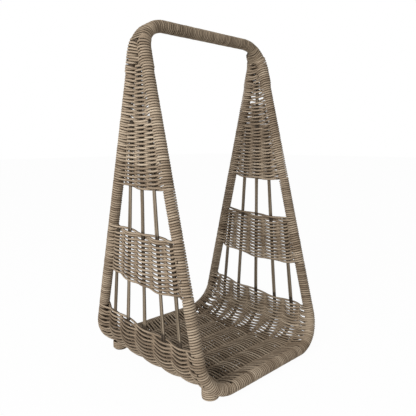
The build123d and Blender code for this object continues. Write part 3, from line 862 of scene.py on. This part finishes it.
def topTurns(spots, angles, side):
    # centre line of the turns that go round both poles, or round the front one past the rear pole's end
    rise = np.sin(angles)
    kept = 1 - smooth((spots - rearPoleEnd) / top["closingLength"])
    front, along, inward, _ = hoopAt(-1, side * (spots - top["tilt"] * rise * kept))
    rear = front * np.array([1, -1, 1])
    radius = top["handleRadius"] + (top["lashingRadius"] - top["handleRadius"]) * kept - top["thickness"]
    line = front + (rear - front) * 0.5 * kept[:, None] - inward * (np.cos(angles) * radius)[:, None]
    line[:, 1] += rise * radius + np.clip(rise * top["ovalEnds"], -1, 1) * (rear - front)[:, 1] * 0.5 * kept
    line[:, 2] -= top["handleDrop"] * (1 - kept)
    return line, along * side


def windTop(side, rng):
    turns = (lashingEnd - lashingStart) / top["lashingPitch"]
    count = round(turns * top["lashingSteps"])
    share = np.arange(count + 1) / count
    spots = lashingStart + (lashingEnd - lashingStart) * share
    line, axis = topTurns(spots, math.pi + share * turns * 2 * math.pi, side)
    return cane(line, axis, top["lashingPitch"] * strands["woundShare"], top["thickness"], rng,
                top["lashingTones"])


def windHandle(rng):
    # left to right over the handle, as three canes
    full = 2 * (hoopLength - lashingEnd)
    count = round(full / top["handlePitch"])
    steps = count * top["handleSteps"]
    share = np.arange(steps + 1) / steps
    travelled = full * share
    angles = math.pi + share * count * 2 * math.pi
    left = travelled <= full / 2
    spots = np.where(left, lashingEnd + travelled, lashingEnd + full - travelled)
    line, axis = np.zeros((steps + 1, 3)), np.zeros((steps + 1, 3))
    for side, here in ((-1, left), (1, ~left)):
        line[here], along = topTurns(spots[here], angles[here], side)
        axis[here] = along * -side
    knots = np.arange(0, full + top["wanderPast"], top["wanderStep"])
    line[:, 2] += np.interp(travelled, knots, rng.normal(0, top["wander"], len(knots)))
    ends = (np.array(top["caneEnds"]) * steps).astype(int)
    parts = [slice(begin, end + 1) for begin, end in zip(ends, ends[1:])]
    return [cane(line[part], axis[part], top["handlePitch"] * strands["woundShare"], top["thickness"], rng,
                 top["handleTones"]) for part in parts]


for sideName, side in sides.items():
    nodeName = f"{sideName}_top_lashing"
    wound = windTop(side, np.random.default_rng(seeds["lashings"] + (side > 0)))
    finishPiece(tubes(nodeName, [wound]), handleCane, "binding_cane", nodeName)
for name, wound in zip(("left", "middle", "right"), windHandle(np.random.default_rng(seeds["handle"]))):
    nodeName = f"handle_binding_{name}"
    finishPiece(tubes(nodeName, [wound]), handleCane, "binding_cane", nodeName)


print("feet")

# Feet: a cane coiled from the middle of the sole and up round the peg
feet = {
    "outerRadius": 0.0191,
    "caneRadius": 0.0023,
    "flatness": 0.95,           # thickness as a share of the width
    "pitch": 0.0045,
    "turnsUp": 4.2,
    "firstRadius": 1.4,         # of the coil's first turn, in radii of the cane
    "climbEarly": 0.35,         # turns before the edge of the sole where the cane begins to climb
    "tipEarly": 0.9, "tipTurns": 1.4,           # where it begins to tip over, and over how many turns
    "stepsPerTurn": 30,
}


def wovenFoot(low, high, rng):
    centre = (low + high) / 2
    radius = feet["outerRadius"] - feet["caneRadius"]
    inner = feet["caneRadius"] * feet["firstRadius"]
    flatTurns = (radius - inner) / feet["pitch"]
    turns = flatTurns + feet["turnsUp"]
    steps = round(turns * feet["stepsPerTurn"])
    turn = np.arange(steps + 1) / steps * turns
    out = np.minimum(inner + turn * feet["pitch"], radius)
    climb = np.maximum(0, turn - flatTurns + feet["climbEarly"]) * feet["pitch"]
    angles = rng.uniform(0, 2 * math.pi) + turn * 2 * math.pi
    spoke = np.stack([np.cos(angles), np.sin(angles), 0 * angles], 1)
    line = spoke * out[:, None] + np.array([centre.x, centre.y, low.z + feet["caneRadius"]])
    line[:, 2] += climb
    tipped = smooth((turn - flatTurns + feet["tipEarly"]) / feet["tipTurns"])[:, None]
    axis = spoke * (1 - tipped) + np.array([0, 0, 1.0]) * tipped
    return [cane(line, axis, feet["caneRadius"], feet["caneRadius"] * feet["flatness"], rng)]


for faceName, face in faces.items():
    for sideName, side in sides.items():
        nodeName = f"{faceName}_{sideName}_foot"
        rng = np.random.default_rng(seeds["feet"] + 2 * (face > 0) + (side > 0))
        foot = tubes(nodeName, wovenFoot(*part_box(nodeName), rng), strands["roundCorners"])
        extra = ["foot_bindings"] if nodeName == "front_left_foot" else []      # one node for all four
        finishPiece(foot, weaverCane, "binding_cane", nodeName, *extra)


print("poles, dowels and pins")
for name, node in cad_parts.items():
    if node.hide_render:
        continue
    finish = steel if "pin" in name else dowelWood if "dowel" in name else shadedPoleWood
    node.data.materials.clear()
    node.data.materials.append(finish)


print("studio")

# Floor, room, lamps and camera
studio = {
    "floorSize": 30.0, "floorDrop": 0.0002,
    "floorColours": ((0.9, 0.9, 0.9, 1), (0.93, 0.93, 0.93, 1)), "mottleScale": 2.0, "mottleDetail": 2.0,
    "floorRoughness": 0.9, "floorShine": 0.1,
    "floorGlow": 0.97,          # the rest of what the camera sees of it is lit, and holds the shadow
    "worldStrength": 0.42,
    "keyPower": 95.0, "keyPlace": (-3.0, -0.8, 1.7), "keySize": 1.6,
    "fillPower": 3.0, "fillPlace": (1.2, -2.8, 1.4), "fillSize": 2.5,
    "aimHeight": 0.4,
}
camera = {
    "place": (-0.7844, -0.8110, 0.5376),
    "azimuth": -44.274, "down": 8.234, "roll": -0.292,      # degrees: from the front, from level, tilt
    "focalPixels": 454.46, "framePixels": 416, "sensorWidth": 36,
}


def seenRays(tree):
    # 1 for what the camera sees, also in a reflection or through glass
    rays = addNode(tree, "ShaderNodeLightPath").outputs
    bent = mathNode(tree, "MAXIMUM", rays["Is Glossy Ray"], rays["Is Transmission Ray"])
    return mathNode(tree, "MAXIMUM", rays["Is Camera Ray"], bent)


def floorMaterial():
    # pale floor that shows white to the camera and keeps a soft shadow
    material, tree, shader = newMaterial("pale studio floor")
    mottle = noise(tree, objectPlace(tree), studio["mottleScale"], studio["mottleDetail"])
    feed(tree, shader.inputs["Base Color"], mixColours(tree, mottle, *studio["floorColours"]))
    feed(tree, shader.inputs["Roughness"], studio["floorRoughness"])
    feed(tree, shader.inputs["Specular IOR Level"], studio["floorShine"])
    glow = addNode(tree, "ShaderNodeEmission", Color=(1, 1, 1, 1), Strength=1.0).outputs[0]
    mixed = tree.nodes.new("ShaderNodeMixShader")
    glowShare = mathNode(tree, "MULTIPLY", seenRays(tree), studio["floorGlow"])
    for socket, value in zip(mixed.inputs, (glowShare, shader.outputs[0], glow)):
        feed(tree, socket, value)
    feed(tree, tree.nodes["Material Output"].inputs["Surface"], mixed.outputs[0])
    return material


def makeFloor():
    half = studio["floorSize"] / 2
    corners = [(x * half, y * half, 0) for x, y in ((-1, -1), (1, -1), (1, 1), (-1, 1))]
    mesh = bpy.data.meshes.new("floor")
    mesh.from_pydata(corners, [], [(0, 1, 2, 3)])
    mesh.materials.append(floorMaterial())
    floor = bpy.data.objects.new("floor", mesh)
    floor.location.z = -studio["floorDrop"]
    bpy.context.scene.collection.objects.link(floor)


def makeWorld():
    # white where it is seen, dimmer as a light
    world = bpy.data.worlds.new("pale room")
    bpy.context.scene.world = world
    world.use_nodes = True
    tree = world.node_tree
    background = tree.nodes["Background"]
    extra = mathNode(tree, "MULTIPLY", seenRays(tree), 1 - studio["worldStrength"])
    feed(tree, background.inputs["Color"], (1, 1, 1, 1))
    feed(tree, background.inputs["Strength"], mathNode(tree, "ADD", extra, studio["worldStrength"]))


def makeLamp(name):
    lamp = bpy.data.lights.new(name, "AREA")
    lamp.energy, lamp.size = studio[name + "Power"], studio[name + "Size"]
    stand = bpy.data.objects.new(name, lamp)
    stand.location = studio[name + "Place"]
    aim = Vector((0, 0, studio["aimHeight"])) - stand.location
    stand.rotation_euler = aim.to_track_quat("-Z", "Y").to_euler()
    bpy.context.scene.collection.objects.link(stand)


def makeCamera():
    azimuth, down, roll = (math.radians(camera[key]) for key in ("azimuth", "down", "roll"))
    looking = Vector((-math.sin(azimuth) * math.cos(down), math.cos(azimuth) * math.cos(down),
                      -math.sin(down)))
    right = looking.cross(Vector((0, 0, 1))).normalized()
    up = right.cross(looking)
    rolledRight = right * math.cos(roll) + up * math.sin(roll)
    rolledUp = up * math.cos(roll) - right * math.sin(roll)
    data = bpy.data.cameras.new("camera")
    data.sensor_width = camera["sensorWidth"]
    data.lens = camera["sensorWidth"] * camera["focalPixels"] / camera["framePixels"]
    shooter = bpy.data.objects.new("camera", data)
    turned = Matrix((rolledRight, rolledUp, -looking)).transposed().to_4x4()
    turned.translation = Vector(camera["place"])
    shooter.matrix_world = turned
    bpy.context.scene.collection.objects.link(shooter)
    bpy.context.scene.camera = shooter


makeFloor()
makeWorld()
makeLamp("key")
makeLamp("fill")
makeCamera()
bpy.context.scene.view_settings.view_transform = "Standard"
